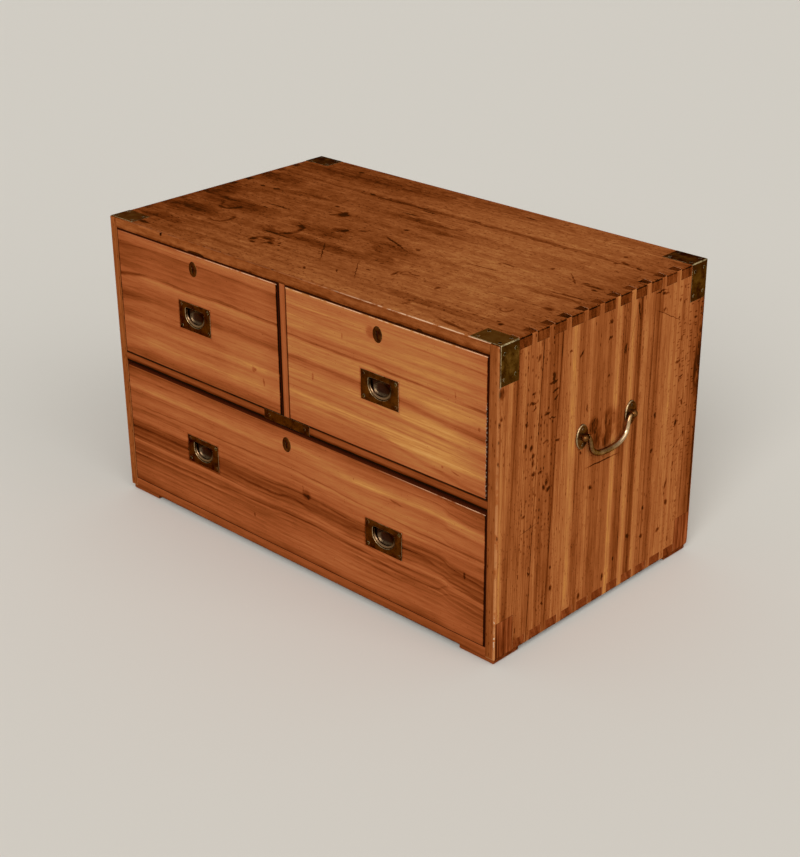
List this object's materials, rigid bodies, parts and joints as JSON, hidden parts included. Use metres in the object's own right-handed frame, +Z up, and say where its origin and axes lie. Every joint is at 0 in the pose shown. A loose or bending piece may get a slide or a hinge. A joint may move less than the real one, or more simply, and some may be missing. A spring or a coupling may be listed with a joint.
{
  "type": "campaign chest",
  "caption": "Low camphor-wood campaign chest with dovetailed case, flush brass corners, drawers with sunk folding handles and locks, and drop carrying handles on its sides.",
  "frame": {"origin": "centre of the chest's overall box, on the floor plane under the feet", "axes": "+X along the width, to the right seen from the front; -Y out of the drawer fronts; +Z up"},
  "size_m": [0.938, 0.522, 0.5414],
  "materials": {
    "camphor_top": "worn wax polish, red-brown camphor wood",
    "camphor_side": "worn wax polish, orange-tan striped camphor wood",
    "camphor_front": "worn wax polish, golden camphor wood",
    "camphor_rail": "worn wax polish, red-brown camphor wood edges",
    "secondary_wood": "bare planed wood",
    "inlaid_wood": "let-in wood, polished",
    "foot_wood": "stained wood",
    "aged_brass": "dark aged brass",
    "handled_brass": "brass polished by handling",
    "lock_iron": "dull iron"
  },
  "bodies": {
    "case": {"top_board": "camphor_top", "bottom_board": "camphor_rail", "right_side": "camphor_side", "left_side": "camphor_side", "middle_rail": "camphor_rail", "rail_plate": "aged_brass", "dust_board": "secondary_wood", "upright": "camphor_rail", "back_board_lower": "secondary_wood", "back_board_upper": "secondary_wood", "strap_front_right": "aged_brass", "strap_front_left": "aged_brass", "strap_back_right": "aged_brass", "strap_back_left": "aged_brass", "corner_patch_front_right": "inlaid_wood", "corner_patch_front_left": "inlaid_wood", "corner_patch_back_right": "inlaid_wood", "corner_patch_back_left": "inlaid_wood", "foot_front_right": "foot_wood", "foot_front_left": "foot_wood", "foot_back_right": "foot_wood", "foot_back_left": "foot_wood", "right_handle_rose_back": "handled_brass", "right_handle_rose_front": "handled_brass", "left_handle_rose_back": "handled_brass", "left_handle_rose_front": "handled_brass"},
    "upper_left_drawer": {"upper_left_drawer_front": "camphor_front", "upper_left_drawer_right_side": "secondary_wood", "upper_left_drawer_left_side": "secondary_wood", "upper_left_drawer_back": "secondary_wood", "upper_left_drawer_bottom": "secondary_wood", "upper_left_drawer_lock": "lock_iron", "upper_left_drawer_keyplate": "aged_brass", "upper_left_drawer_handle_plate": "aged_brass"},
    "upper_right_drawer": {"upper_right_drawer_front": "camphor_front", "upper_right_drawer_right_side": "secondary_wood", "upper_right_drawer_left_side": "secondary_wood", "upper_right_drawer_back": "secondary_wood", "upper_right_drawer_bottom": "secondary_wood", "upper_right_drawer_lock": "lock_iron", "upper_right_drawer_keyplate": "aged_brass", "upper_right_drawer_handle_plate": "aged_brass"},
    "lower_drawer": {"lower_drawer_front": "camphor_front", "lower_drawer_right_side": "secondary_wood", "lower_drawer_left_side": "secondary_wood", "lower_drawer_back": "secondary_wood", "lower_drawer_bottom": "secondary_wood", "lower_drawer_lock": "lock_iron", "lower_drawer_keyplate": "aged_brass", "lower_drawer_handle_plate_left": "aged_brass", "lower_drawer_handle_plate_right": "aged_brass"},
    "upper_left_bolt": {"upper_left_drawer_bolt": "handled_brass"},
    "upper_right_bolt": {"upper_right_drawer_bolt": "handled_brass"},
    "lower_bolt": {"lower_drawer_bolt": "handled_brass"},
    "upper_left_flush_bail": {"upper_left_drawer_bail": "handled_brass"},
    "upper_right_flush_bail": {"upper_right_drawer_bail": "handled_brass"},
    "lower_left_flush_bail": {"lower_drawer_bail_left": "handled_brass"},
    "lower_right_flush_bail": {"lower_drawer_bail_right": "handled_brass"},
    "right_carry_bail": {"right_handle_bail": "handled_brass"},
    "left_carry_bail": {"left_handle_bail": "handled_brass"}
  },
  "joints": [
    {"name": "upper_left_drawer_slide", "type": "slide", "parent": "case", "child": "upper_left_drawer", "axis": [0, -1, 0], "range_m": [0, 0.4]},
    {"name": "upper_right_drawer_slide", "type": "slide", "parent": "case", "child": "upper_right_drawer", "axis": [0, -1, 0], "range_m": [0, 0.4]},
    {"name": "lower_drawer_slide", "type": "slide", "parent": "case", "child": "lower_drawer", "axis": [0, -1, 0], "range_m": [0, 0.4]},
    {"name": "upper_left_bolt_slide", "type": "slide", "parent": "upper_left_drawer", "child": "upper_left_bolt", "axis": [0, 0, 1], "range_m": [0, 0.012]},
    {"name": "upper_right_bolt_slide", "type": "slide", "parent": "upper_right_drawer", "child": "upper_right_bolt", "axis": [0, 0, 1], "range_m": [0, 0.012]},
    {"name": "lower_bolt_slide", "type": "slide", "parent": "lower_drawer", "child": "lower_bolt", "axis": [0, 0, 1], "range_m": [0, 0.012]},
    {"name": "upper_left_bail_hinge", "type": "hinge", "parent": "upper_left_drawer", "child": "upper_left_flush_bail", "pos_m": [-0.2335, -0.2581, 0.4124], "axis": [-1, 0, 0], "range_deg": [0, 95]},
    {"name": "upper_right_bail_hinge", "type": "hinge", "parent": "upper_right_drawer", "child": "upper_right_flush_bail", "pos_m": [0.2115, -0.2581, 0.4109], "axis": [-1, 0, 0], "range_deg": [0, 95]},
    {"name": "lower_left_bail_hinge", "type": "hinge", "parent": "lower_drawer", "child": "lower_left_flush_bail", "pos_m": [-0.233, -0.2581, 0.1554], "axis": [-1, 0, 0], "range_deg": [0, 95]},
    {"name": "lower_right_bail_hinge", "type": "hinge", "parent": "lower_drawer", "child": "lower_right_flush_bail", "pos_m": [0.216, -0.2581, 0.1489], "axis": [-1, 0, 0], "range_deg": [0, 95]},
    {"name": "right_carry_bail_hinge", "type": "hinge", "parent": "case", "child": "right_carry_bail", "pos_m": [0.4625, 0.003, 0.33], "axis": [0, -1, 0], "range_deg": [-2, 180]},
    {"name": "left_carry_bail_hinge", "type": "hinge", "parent": "case", "child": "left_carry_bail", "pos_m": [-0.4625, 0.003, 0.33], "axis": [0, 1, 0], "range_deg": [-2, 180]}
  ]
}
